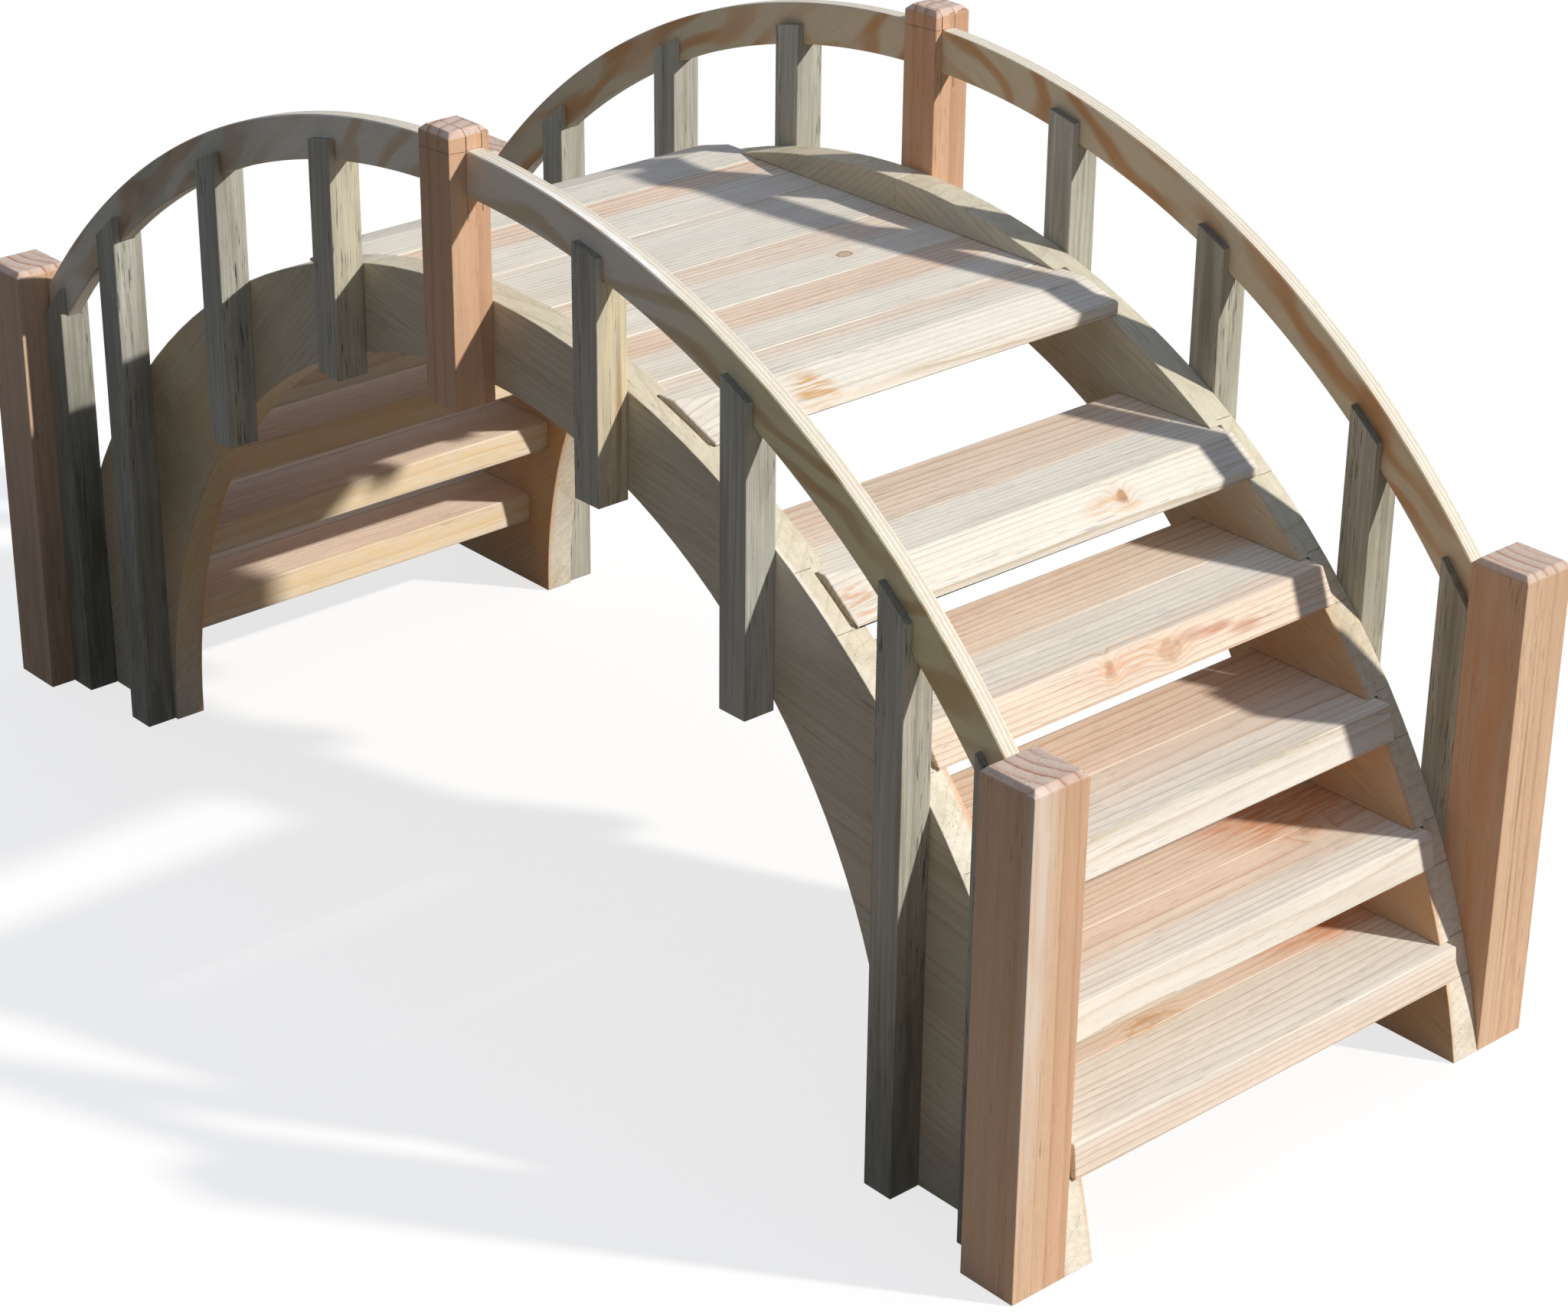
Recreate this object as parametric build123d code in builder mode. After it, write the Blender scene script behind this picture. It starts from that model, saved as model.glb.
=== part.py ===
from build123d import *
import math
import os

# Moon bridge for a garden, in sawn softwood lumber. All lengths are millimetres.
# X runs along the bridge with the front end at +X, Y runs across it with the left side at -Y,
# and Z points up. The origin lies on the ground, under the middle of the deck.

# Arched stringers
bridge_length = 1760.0
walk_width = 536.0
arch_rise = 735.0
crown_depth = 92.0
foot_length = 244.0
stringer_thickness = 38.0

# Deck boards across the crown
crown_lip = 38.0
deck_thickness = 28.0
deck_board_width = 115.0
deck_inner_boards = 4
deck_nose_run = 52.0
deck_nose_flat = 14.0

# Treads, listed from the lowest to the highest
tread_thickness = 38.0
tread_depth = 190.0
tread_height_shares = (0.182, 0.347, 0.521, 0.693, 0.844)
tread_nose_run_shares = (0.10, 0.18, 0.27, 0.50, 1.00)
tread_nose_flat_shares = (0.05, 0.05, 0.05, 0.05, 0.30)
nose_proud = 4.0

# Routed housings that hold the ends of the treads and deck boards
housing_depth = 16.0
housing_end_gap = 4.0
housing_gap = 0.3

# Posts
end_post_size = 70.0
middle_post_size = 50.0
post_rise = 21.0
post_chamfer = 6.0
middle_post_drop = 18.0

# Plywood handrails
rail_thickness = 19.0
rail_depth = 48.0
rail_height = 164.0
fit_clearance = 0.2

# Balusters
baluster_size = 38.0
balusters_in_half = 3
baluster_drop = 10.0
baluster_tongue_share = 0.50

# One overrun serves every cut
cut_overrun = 30.0

# Worked out from the sizes above
half_length = bridge_length / 2
half_opening = half_length - foot_length
opening_rise = arch_rise - crown_depth
deck_height = arch_rise - crown_lip
inner_face = walk_width / 2
outer_face = inner_face + stringer_thickness
tread_half_length = inner_face + housing_depth - housing_end_gap
top_radius = (half_length**2 + arch_rise**2) / (2 * arch_rise)
top_centre = arch_rise - top_radius
opening_radius = (half_opening**2 + opening_rise**2) / (2 * opening_rise)
opening_centre = opening_rise - opening_radius
rail_top_radius = top_radius + rail_height
rail_low_radius = rail_top_radius - rail_depth
tongue_radius = rail_low_radius + rail_depth * baluster_tongue_share
rail_end = half_length - end_post_size
rail_inner_face = outer_face + (baluster_size - rail_thickness) / 2
baluster_pitch = half_length / (balusters_in_half + 1)

os.makedirs("parts", exist_ok=True)


def arch_z(radius, x):
    """Height of an arc about the common centre of the stringers' top curve and the rails."""
    return top_centre + math.sqrt(radius**2 - x**2)


def arch_x(height):
    """Distance from the middle at which the stringer's top curve has this height."""
    return math.sqrt(top_radius**2 - (height - top_centre) ** 2)


def opening_z(x):
    """Height of the opening under the arch, or the ground beyond its ends."""
    if abs(x) >= half_opening:
        return 0.0
    return opening_centre + math.sqrt(opening_radius**2 - x**2)


def side_plane(side, inner, width):
    """Upright plane along the bridge, from which an extrusion of this width fills one side."""
    offset = inner if side < 0 else -(inner + width)
    return Plane.XZ.offset(offset)


def arc_line(radius, x_from, x_to):
    """Arc about the common centre between two places along the bridge."""
    x_mid = (x_from + x_to) / 2
    return ThreePointArc(
        (x_from, arch_z(radius, x_from)), (x_mid, arch_z(radius, x_mid)), (x_to, arch_z(radius, x_to))
    )


def write(part, label):
    """Name a finished piece and write it."""
    part.label = label
    export_step(part, f"parts/{label}.step")


def tread_levels():
    """Top, underside, nose and back of each tread, lowest first."""
    levels = []
    for share in tread_height_shares:
        top = deck_height * share
        bottom = top - tread_thickness
        nose = arch_x(bottom) + nose_proud
        levels.append((top, bottom, nose, nose - tread_depth))
    return levels


deck_bottom = deck_height - deck_thickness
deck_nose = arch_x(deck_bottom) + nose_proud
deck_joint_end = deck_inner_boards * deck_board_width / 2
rail_end_top = arch_z(rail_top_radius, rail_end)
rail_end_low = arch_z(rail_low_radius, rail_end)
slot_width = rail_thickness + 2 * fit_clearance
end_post_centre = half_length - end_post_size / 2
end_post_top = rail_end_top + post_rise
middle_post_top = arch_z(rail_top_radius, 0) + post_rise


def make_stringer(side, label):
    """Sawn arch with a routed housing for the deck and for every tread in its inner face."""
    with BuildPart() as stringer:
        with BuildSketch(side_plane(side, inner_face, stringer_thickness)):
            with BuildLine():
                ThreePointArc((-half_length, 0), (0, arch_rise), (half_length, 0))
                Line((half_length, 0), (half_opening, 0))
                ThreePointArc((half_opening, 0), (0, opening_rise), (-half_opening, 0))
                Line((-half_opening, 0), (-half_length, 0))
            make_face()
        extrude(amount=stringer_thickness)
        with BuildSketch(side_plane(side, inner_face, housing_depth)):
            slot_height = deck_thickness + housing_gap
            with Locations((0, deck_bottom + slot_height / 2)):
                Rectangle(2 * (deck_nose + cut_overrun), slot_height)
            for end in (-1, 1):
                for top, bottom, nose, back in tread_levels():
                    slot_height = top + housing_gap - bottom
                    slot_start = back - housing_gap
                    slot_length = nose + cut_overrun - slot_start
                    with Locations((end * (slot_start + slot_length / 2), bottom + slot_height / 2)):
                        Rectangle(slot_length, slot_height)
        extrude(amount=housing_depth, mode=Mode.SUBTRACT)
    write(stringer.part, label)


def make_tread(end, level, run, flat, label):
    """Board with its nose planed back towards the slope of the arch."""
    top, bottom, nose, back = level
    with BuildPart() as tread:
        with BuildSketch(Plane.XZ.offset(-tread_half_length)):
            with BuildLine():
                Polyline(
                    (end * back, bottom),
                    (end * nose, bottom),
                    (end * nose, bottom + flat),
                    (end * (nose - run), top),
                    (end * back, top),
                    close=True,
                )
            make_face()
        extrude(amount=2 * tread_half_length)
    write(tread.part, label)


def make_deck_board(x_from, x_to, label):
    """Plain board across the crown."""
    with BuildPart() as board:
        with BuildSketch(Plane.XZ.offset(-tread_half_length)):
            with Locations(((x_from + x_to) / 2, deck_bottom + deck_thickness / 2)):
                Rectangle(x_to - x_from, deck_thickness)
        extrude(amount=2 * tread_half_length)
    write(board.part, label)


def make_post(side, x_centre, size, bottom, top, label, slotted):
    """Square post with a chamfered top, on the outer face of a stringer."""
    with BuildPart() as post:
        with BuildSketch(side_plane(side, outer_face, size)):
            with Locations((x_centre, (bottom + top) / 2)):
                Rectangle(size, top - bottom)
        extrude(amount=size)
        chamfer(post.faces().sort_by(Axis.Z)[-1].edges(), length=post_chamfer)
        if slotted:
            slot = rail_slot(side, x_centre - size / 2, x_centre + size / 2)
            extrude(to_extrude=slot, amount=slot_width, mode=Mode.SUBTRACT)
    write(post.part, label)


def rail_slot(side, x_from, x_to):
    """Outline of the open slot in a post or baluster, down to the underside of the rail."""
    floor_radius = rail_low_radius - fit_clearance
    slot_top = middle_post_top + cut_overrun
    with BuildSketch(side_plane(side, rail_inner_face - fit_clearance, slot_width)) as slot:
        with BuildLine():
            arc_line(floor_radius, x_from, x_to)
            Polyline(
                (x_to, arch_z(floor_radius, x_to)),
                (x_to, slot_top),
                (x_from, slot_top),
                (x_from, arch_z(floor_radius, x_from)),
            )
        make_face()
    return slot.sketch


def make_plug(side, top, label):
    """Block that fills the slot of a middle post above the rail."""
    half = middle_post_size / 2
    seat_radius = rail_top_radius + fit_clearance
    with BuildPart() as plug:
        with BuildSketch(side_plane(side, rail_inner_face, rail_thickness)):
            with BuildLine():
                arc_line(seat_radius, -half, half)
                Polyline(
                    (half, arch_z(seat_radius, half)),
                    (half, top - post_chamfer),
                    (half - post_chamfer, top),
                    (post_chamfer - half, top),
                    (-half, top - post_chamfer),
                    (-half, arch_z(seat_radius, half)),
                )
            make_face()
        extrude(amount=rail_thickness)
    write(plug.part, label)


def make_rail(side, label):
    """Handrail sawn from plywood in one arc, from end post to end post."""
    with BuildPart() as rail:
        with BuildSketch(side_plane(side, rail_inner_face, rail_thickness)):
            with BuildLine():
                arc_line(rail_top_radius, -rail_end, rail_end)
                Line((rail_end, rail_end_top), (rail_end, rail_end_low))
                arc_line(rail_low_radius, rail_end, -rail_end)
                Line((-rail_end, rail_end_low), (-rail_end, rail_end_top))
            make_face()
        extrude(amount=rail_thickness)
    write(rail.part, label)


def make_baluster(side, x_centre, label):
    """Square baluster whose top is cut along the rail and slotted to hold it."""
    x_from = x_centre - baluster_size / 2
    x_to = x_centre + baluster_size / 2
    x_outer = max(abs(x_from), abs(x_to))
    bottom = max(opening_z(x_outer) - baluster_drop, 0.0)
    with BuildPart() as baluster:
        with BuildSketch(side_plane(side, outer_face, baluster_size)):
            with BuildLine():
                arc_line(tongue_radius, x_from, x_to)
                Polyline(
                    (x_to, arch_z(tongue_radius, x_to)),
                    (x_to, bottom),
                    (x_from, bottom),
                    (x_from, arch_z(tongue_radius, x_from)),
                )
            make_face()
        extrude(amount=baluster_size)
        extrude(to_extrude=rail_slot(side, x_from, x_to), amount=slot_width, mode=Mode.SUBTRACT)
    write(baluster.part, label)


sides = {"left": -1, "right": 1}
ends = {"front": 1, "back": -1}

baluster_places = [baluster_pitch * (index + 1) for index in range(balusters_in_half)]
baluster_places.append(rail_end - baluster_size / 2)

for side_name, side in sides.items():
    make_stringer(side, f"{side_name}_stringer")
    make_rail(side, f"{side_name}_rail")
    make_post(
        side, 0, middle_post_size, opening_rise - middle_post_drop, middle_post_top,
        f"{side_name}_middle_post", slotted=True,
    )
    make_plug(side, middle_post_top, f"{side_name}_middle_post_plug")
    for end_name, end in ends.items():
        make_post(
            side, end * end_post_centre, end_post_size, 0, end_post_top,
            f"{end_name}_{side_name}_post", slotted=False,
        )
        for index, place in enumerate(baluster_places):
            make_baluster(side, end * place, f"{end_name}_{side_name}_baluster_{index + 1}")

deck_nose_level = (deck_height, deck_bottom, deck_nose, deck_joint_end)
for end_name, end in ends.items():
    for index, level in enumerate(tread_levels()):
        run = tread_thickness * tread_nose_run_shares[index]
        flat = tread_thickness * tread_nose_flat_shares[index]
        make_tread(end, level, run, flat, f"{end_name}_tread_{index + 1}")
    make_tread(end, deck_nose_level, deck_nose_run, deck_nose_flat, f"deck_{end_name}_board")

for index in range(deck_inner_boards):
    board_start = index * deck_board_width - deck_joint_end
    make_deck_board(board_start, board_start + deck_board_width, f"deck_inner_board_{index + 1}")
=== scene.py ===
# %% [markdown]
# # A moon bridge in softwood
# Two sawn arches carry ten treads and a flat deck, and two plywood handrails follow the same curve above them.
# The CAD model holds every solid at its true place and size. This lesson gives those solids eased edges, glued
# joints, wood that runs the way each board was sawn, a camera and a light.
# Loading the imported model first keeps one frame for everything: metres, X along the bridge, Z up.

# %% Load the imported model
import math
import random

import bmesh
import bpy
from mathutils import Matrix, Vector


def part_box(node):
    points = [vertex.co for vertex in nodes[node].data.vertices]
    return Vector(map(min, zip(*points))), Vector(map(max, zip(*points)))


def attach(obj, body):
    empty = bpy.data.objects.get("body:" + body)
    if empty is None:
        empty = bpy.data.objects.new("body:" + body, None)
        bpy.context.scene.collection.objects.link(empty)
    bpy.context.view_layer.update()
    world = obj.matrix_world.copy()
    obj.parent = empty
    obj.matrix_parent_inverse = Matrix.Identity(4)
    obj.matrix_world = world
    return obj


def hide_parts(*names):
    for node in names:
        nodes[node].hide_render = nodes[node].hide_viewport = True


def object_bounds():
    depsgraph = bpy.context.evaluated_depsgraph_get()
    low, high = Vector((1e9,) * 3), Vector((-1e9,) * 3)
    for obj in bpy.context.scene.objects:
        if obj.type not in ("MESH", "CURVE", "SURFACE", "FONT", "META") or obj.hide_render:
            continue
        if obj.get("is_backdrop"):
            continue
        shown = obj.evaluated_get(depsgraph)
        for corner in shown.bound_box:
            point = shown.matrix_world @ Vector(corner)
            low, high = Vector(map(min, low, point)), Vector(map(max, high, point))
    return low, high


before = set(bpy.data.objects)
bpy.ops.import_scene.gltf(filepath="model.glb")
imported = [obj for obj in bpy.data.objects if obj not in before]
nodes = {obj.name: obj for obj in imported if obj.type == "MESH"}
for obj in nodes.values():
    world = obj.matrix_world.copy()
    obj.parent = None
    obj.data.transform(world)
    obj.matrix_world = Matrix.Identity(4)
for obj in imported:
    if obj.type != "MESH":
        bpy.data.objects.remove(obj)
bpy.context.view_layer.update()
scene = bpy.context.scene

# %% [markdown]
# ## Camera
# The picture was taken from in front and to the left, well above the rails. The place and the lens come from
# solving a pinhole camera for the corners of posts, treads and arches. A level camera with a shifted lens fits
# a little closer, but a plain tilted one is within a few pixels and also serves other views, so it has no shift.

# %% Place the camera
picture_width = 2048
focal_pixels = 4798.85
sensor_width = 36.0
eye = Vector((2.829658, -2.411298, 2.052067))
look = Vector((-0.66955762, 0.59805175, -0.44048461)).normalized()
right = Vector((0.66246605, 0.74902544, 0.0099817)).normalized()

camera_data = bpy.data.cameras.new("camera")
camera_data.sensor_fit = "HORIZONTAL"
camera_data.sensor_width = sensor_width
camera_data.lens = sensor_width * focal_pixels / picture_width
camera = bpy.data.objects.new("camera", camera_data)
scene.collection.objects.link(camera)
turned = Matrix((right, right.cross(look), -look)).transposed().to_4x4()
camera.matrix_world = Matrix.Translation(eye) @ turned
scene.camera = camera
scene.view_settings.view_transform = "Standard"
print("lens", round(camera_data.lens, 2), "mm at", [round(v, 2) for v in eye])

# %% [markdown]
# ## Node trees in few words
# Every finish and every Geometry Nodes tree below is a graph of small nodes. Writing each node out by hand takes
# pages, so one small class gives short names to the kinds that are used, and joins or sets their inputs.

# %% A short hand for nodes
class Graph:
    """Adds nodes to a tree and joins them: an input takes a socket or a plain value."""

    def __init__(self, tree):
        self.tree = tree

    def put(self, socket, value):
        if isinstance(value, bpy.types.NodeSocket):
            self.tree.links.new(value, socket)
        else:
            socket.default_value = value

    def add(self, kind, inputs=None, **settings):
        node = self.tree.nodes.new(kind)
        for key, value in settings.items():
            setattr(node, key, value)
        for key, value in (inputs or {}).items():
            self.put(node.inputs[key], value)
        return node

    def math(self, operation, *values):
        return self.add("ShaderNodeMath", dict(enumerate(values)), operation=operation).outputs[0]

    def vector(self, operation, *values):
        node = self.add("ShaderNodeVectorMath", dict(enumerate(values)), operation=operation)
        return node.outputs["Value" if operation in ("LENGTH", "DOT_PRODUCT") else "Vector"]

    def split(self, vector):
        return self.add("ShaderNodeSeparateXYZ", {0: vector}).outputs

    def gather(self, x, y, z):
        return self.add("ShaderNodeCombineXYZ", {0: x, 1: y, 2: z}).outputs[0]

    def shape(self, kind, inputs):
        """The geometry that a Geometry Nodes node of this kind gives."""
        return self.add("GeometryNode" + kind, inputs).outputs[0]

    def attribute(self, name, output):
        return self.add("ShaderNodeAttribute", attribute_name=name).outputs[output]

    def object_place(self):
        return self.add("ShaderNodeTexCoord").outputs["Object"]

    def noise(self, vector, stretch, detail=2.0, rough=0.5):
        """Soft noise from 0 to 1, with about this many patches in a metre along each axis."""
        place = self.vector("MULTIPLY", vector, stretch)
        inputs = {"Vector": place, "Scale": 1.0, "Detail": detail, "Roughness": rough}
        return self.add("ShaderNodeTexNoise", inputs).outputs[0]

    def swing(self, vector, stretch, reach, detail=2.0):
        """Noise about zero, by half of this reach to either side."""
        return self.math("MULTIPLY", self.math("SUBTRACT", self.noise(vector, stretch, detail), 0.5), reach)

    def about_one(self, noise, reach):
        """A noise value turned into a factor about 1."""
        return self.math("MULTIPLY_ADD", self.math("SUBTRACT", noise, 0.5), reach, 1.0)

    def chance(self, value):
        return self.add("ShaderNodeTexWhiteNoise", {"W": value}, noise_dimensions="1D").outputs[0]

    def step(self, value, low, high, out_low=0.0, out_high=1.0):
        """A smooth step from one level to another between two values."""
        inputs = {0: value, 1: low, 2: high, 3: out_low, 4: out_high}
        return self.add("ShaderNodeMapRange", inputs, interpolation_type="SMOOTHSTEP").outputs[0]

    def curve(self, value, stops):
        """A level by value. The node starts with two marks, so the stops name the two ends first."""
        node = self.add("ShaderNodeValToRGB", {0: value})
        ramp = node.color_ramp.elements
        marks = list(ramp) + [ramp.new(0.5) for _ in stops[2:]]
        for mark, (place, level) in zip(marks, stops):
            mark.position = place
            mark.color = (level, level, level, 1.0)
        return node.outputs[0]

    def mix(self, share, first, second):
        return self.add("ShaderNodeMix", {0: share, 6: first, 7: second}, data_type="RGBA").outputs[2]

    def scaled(self, colour, level):
        return self.add("ShaderNodeVectorMath", {0: colour, 3: level}, operation="SCALE").outputs[0]


def new_material(name):
    """An empty node material, with the short hand for its tree."""
    material = bpy.data.materials.new(name)
    material.use_nodes = True
    material.node_tree.nodes.clear()
    return material, Graph(material.node_tree)


def paint(red, green, blue):
    """A colour as it looks on a screen, 0 to 255, in the linear values that Blender works with."""
    shares = [value / 255 for value in (red, green, blue)]
    return tuple(v / 12.92 if v <= 0.04045 else ((v + 0.055) / 1.055) ** 2.4 for v in shares) + (1.0,)


print("cream wood is", [round(v, 3) for v in paint(226, 214, 196)])

# %% [markdown]
# ## Light and floor
# The bridge stood in low sun from its front right, so the noses and the right-hand faces are bright and the
# near faces lie in shade. One sun lamp with soft shadows gives the lit faces, a little warm. Shaded tops were
# bluer and brighter than shaded sides, so the fill is a cool soft box overhead that fades towards the horizon,
# with a weak glow from the front. A low one from behind lights the back end, which the picture doesn't show.
# The floor is white to the camera, but sends little and warm light back up, most of it in front of the bridge.

# %% Lamp
to_light = Vector((0.663, 0.495, 0.562)).normalized()
lamp_data = bpy.data.lights.new("key", "SUN")
lamp_data.energy = 3.80
lamp_data.color = (1.0, 0.955, 0.89)
lamp_data.angle = math.radians(2.5)
lamp = bpy.data.objects.new("key", lamp_data)
scene.collection.objects.link(lamp)
lamp.rotation_mode = "QUATERNION"
lamp.rotation_quaternion = to_light.to_track_quat("Z", "Y")
print("lamp stands", round(math.degrees(math.asin(to_light.z))), "degrees above the floor")

# %% Sky
sky_tint = (0.86, 1.0, 1.28, 1.0)
plain_white = (1.0, 1.0, 1.0, 1.0)
overhead = 0.43
from_ahead = 0.20
from_behind = 0.85


def seen_directly(g):
    """1 for what the camera sees, also in gloss and glass, and 0 for light on its way to the bridge."""
    rays = g.add("ShaderNodeLightPath").outputs
    seen = g.math("MAXIMUM", rays["Is Camera Ray"], rays["Is Glossy Ray"])
    return g.math("MAXIMUM", seen, rays["Is Transmission Ray"])


world = bpy.data.worlds.new("sky")
scene.world = world
world.use_nodes = True
world.node_tree.nodes.clear()
sky = Graph(world.node_tree)
toward_x, _, toward_z = sky.split(sky.add("ShaderNodeTexCoord").outputs["Generated"])
up = sky.math("MAXIMUM", toward_z, 0.0)
ahead = sky.math("MAXIMUM", toward_x, 0.0)
behind = sky.math("MAXIMUM", sky.math("MULTIPLY", toward_x, -1.0), 0.0)
low_behind = sky.math("MULTIPLY", behind, sky.math("SUBTRACT", 1.0, up))
strength = 0.0
for share, level in ((up, overhead), (ahead, from_ahead), (low_behind, from_behind)):
    strength = sky.math("MULTIPLY_ADD", sky.math("MULTIPLY", share, share), level, strength)
fill = sky.add("ShaderNodeBackground", {0: sky_tint, 1: strength}).outputs[0]
white = sky.add("ShaderNodeBackground", {0: plain_white, 1: 1.0}).outputs[0]
both = sky.add("ShaderNodeMixShader", {0: seen_directly(sky), 1: fill, 2: white}).outputs[0]
sky.add("ShaderNodeOutputWorld", {0: both})
print("sky has", len(world.node_tree.nodes), "nodes")

# %% Floor
floor_reach = 20.0
floor_drop = 0.0004
floor_grey = (0.27, 0.27, 0.27, 1.0)
floor_glow = 0.755
bounce_tint = (0.34, 0.255, 0.172)
bounce_centre = (0.9, -0.5, 0.0)
bounce_full, bounce_faint, faint_share = 0.7, 2.4, 0.10

floor_mesh = bpy.data.meshes.new("floor")
quarters = ((-1, -1), (1, -1), (1, 1), (-1, 1))
corners = [(x * floor_reach, y * floor_reach, -floor_drop) for x, y in quarters]
floor_mesh.from_pydata(corners, [], [(0, 1, 2, 3)])
floor = bpy.data.objects.new("floor", floor_mesh)
scene.collection.objects.link(floor)
floor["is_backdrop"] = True

pale, ground = new_material("pale_floor")
lit = ground.add("ShaderNodeBsdfDiffuse", {0: floor_grey}).outputs[0]
glow = ground.add("ShaderNodeEmission", {0: plain_white, 1: floor_glow}).outputs[0]
shown = ground.add("ShaderNodeAddShader", {0: lit, 1: glow}).outputs[0]
away = ground.vector("LENGTH", ground.vector("SUBTRACT", ground.object_place(), bounce_centre))
warm_light = ground.scaled(bounce_tint, ground.step(away, bounce_full, bounce_faint, 1.0, faint_share))
bounce = ground.add("ShaderNodeBsdfDiffuse", {0: warm_light}).outputs[0]
surface = ground.add("ShaderNodeMixShader", {0: seen_directly(ground), 1: bounce, 2: shown}).outputs[0]
ground.add("ShaderNodeOutputMaterial", {0: surface})
floor_mesh.materials.append(pale)
print("floor is", 2 * floor_reach, "m wide")

# %% [markdown]
# ## Softwood
# A board is a slice of a log: rings round a pith, stretched along the grain. A flat picture of grain would not
# turn the corner from a board's face to its end. Here each board carries its own coordinates, the attribute
# "grain": the distance along the log, and two distances from the pith. Rings are then a matter of radius, and the
# ends of posts show arcs without more work. A second attribute, "board", holds the board's tone, the radius of its
# pink heartwood and the strength of its colour, and "end" marks faces that cut across the grain.

# %% Rings
# unevenness, as patches in a metre along the grain and twice across it
log_sway = (1.3, 11.0, 11.0)
ring_edge = (7.0, 240.0, 240.0)
# a year's wood turns dark slowly and ends at once: place in the year and darkness, the two ends first
year_profile = [(0.0, 0.22), (1.0, 0.10), (0.12, 0.02), (0.45, 0.06), (0.76, 0.32), (0.93, 1.0)]
ring_raggedness = 0.26
knot_bend = 0.012


def distance_to(g, place, centre, size):
    """Distance from a spot given in millimetres, 1 on the rim of an ellipsoid of this size."""
    offset = g.vector("SUBTRACT", place, tuple(side / 1000 for side in centre))
    return g.vector("LENGTH", g.vector("MULTIPLY", offset, tuple(1000 / side for side in size)))


def rings_of(g, grain, pitch, wander, knot_rims):
    """Distance from the pith, and the darkness of the ring there. Rings bend round knots."""
    _, out_a, out_b = g.split(grain)
    radius = g.vector("LENGTH", g.gather(0.0, out_a, out_b))
    radius = g.math("ADD", radius, g.swing(grain, log_sway, wander))
    for far in knot_rims:
        radius = g.math("ADD", radius, g.step(far, 2.3, 0.1, 0.0, knot_bend))
    rings = g.math("ADD", g.math("DIVIDE", radius, pitch), g.swing(grain, ring_edge, ring_raggedness))
    year = g.chance(g.math("FLOOR", rings))
    dark = g.curve(g.math("FRACT", rings), year_profile)
    return radius, g.math("MULTIPLY", dark, g.math("MULTIPLY_ADD", year, 0.6, 0.4))


print("a year's wood is darkest at", max(year_profile, key=lambda stop: stop[1])[0])

# %% Fibres, cracks, knots, stains and painted light
fine_threads = (12.0, 800.0, 800.0)
wide_streaks = (4.5, 170.0, 170.0)
soft_stains = (4.5, 24.0, 24.0)
small_mottle = (75.0, 210.0, 210.0)
mottle_reach = 0.20
drying_cracks = (26.0, 520.0, 520.0)
crack_zones = (3.0, 40.0, 40.0)
darkest_board, tone_reach = 0.87, 0.26
knot_rim = (95.0, 95.0, 95.0)
knot_halo = paint(227, 184, 134)
knot_heart = paint(158, 106, 64)
knot_bark = paint(128, 92, 70)


def wear_of(g, grain, tone, fibre, blotch, checks):
    """Brightness about 1 from fibres, stains and the board's tone, with the cracks and threads in it."""
    threads = g.noise(grain, fine_threads, 3.0, 0.68)
    streaks = g.noise(grain, wide_streaks, 4.0, 0.7)
    stains = g.noise(grain, soft_stains, 3.0, 0.6)
    mottle = g.noise(grain, small_mottle, 3.0, 0.75)
    level = g.about_one(threads, fibre)
    for noise, reach in ((streaks, fibre), (stains, blotch), (mottle, mottle_reach)):
        level = g.math("MULTIPLY", level, g.about_one(noise, reach))
    level = g.math("MULTIPLY", level, g.math("MULTIPLY_ADD", tone, tone_reach, darkest_board))
    patchy = g.step(g.noise(grain, crack_zones, 1.0), 0.42, 0.62)
    cracks = g.step(g.noise(grain, drying_cracks, 2.0), 0.60, 0.70)
    cracks = g.math("MULTIPLY", g.math("MULTIPLY", cracks, patchy), checks)
    return g.math("MULTIPLY", level, g.math("SUBTRACT", 1.0, cracks)), cracks, threads


def with_knots(g, colour, place, knots, knot_rims):
    """Paints each knot: a soft halo, a brown core and a darker ring, all a little crooked."""
    if not knots:
        return colour
    crooked = g.swing(place, knot_rim, 1.0, 3.0)
    for far, (_, _, core, ring) in zip(knot_rims, knots):
        rim = g.math("MULTIPLY_ADD", crooked, 1.8, far)
        colour = g.mix(g.step(rim, 2.6, 0.4, 0.0, 0.28), colour, knot_halo)
        colour = g.mix(g.step(rim, 1.1, 0.2, 0.0, core), colour, knot_heart)
        band = g.math("SUBTRACT", g.math("MULTIPLY_ADD", crooked, 0.5, far), 0.8)
        colour = g.mix(g.step(g.math("ABSOLUTE", band), 0.30, 0.02, 0.0, ring), colour, knot_bark)
    return colour


def with_stains_and_painted_light(g, colour, place, spots, strands):
    """Paints stains, painted warm bounce light and painted shade, all breaking up into strands."""
    gaps = g.step(g.noise(place, strands, 3.0), 0.40, 0.62, 1.0, 0.0)
    for centre, size, tint, share, streaky in spots:
        near = g.step(distance_to(g, place, centre, size), 1.0, 0.35, 0.0, share)
        near = g.math("MULTIPLY", near, g.math("MULTIPLY_ADD", gaps, -streaky, 1.0))
        colour = g.mix(near, colour, paint(*tint))
    return colour


print("threads are", round(1000 / fine_threads[1], 2), "mm wide")

# %% The softwood finish
heart_edge = (2.0, 40.0, 40.0)
heart_edge_reach = 0.034
heart_blend = 0.012
warm_zones = (2.2, 34.0, 34.0)
relief_depth = 0.0009
wood_gloss = 0.25


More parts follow.
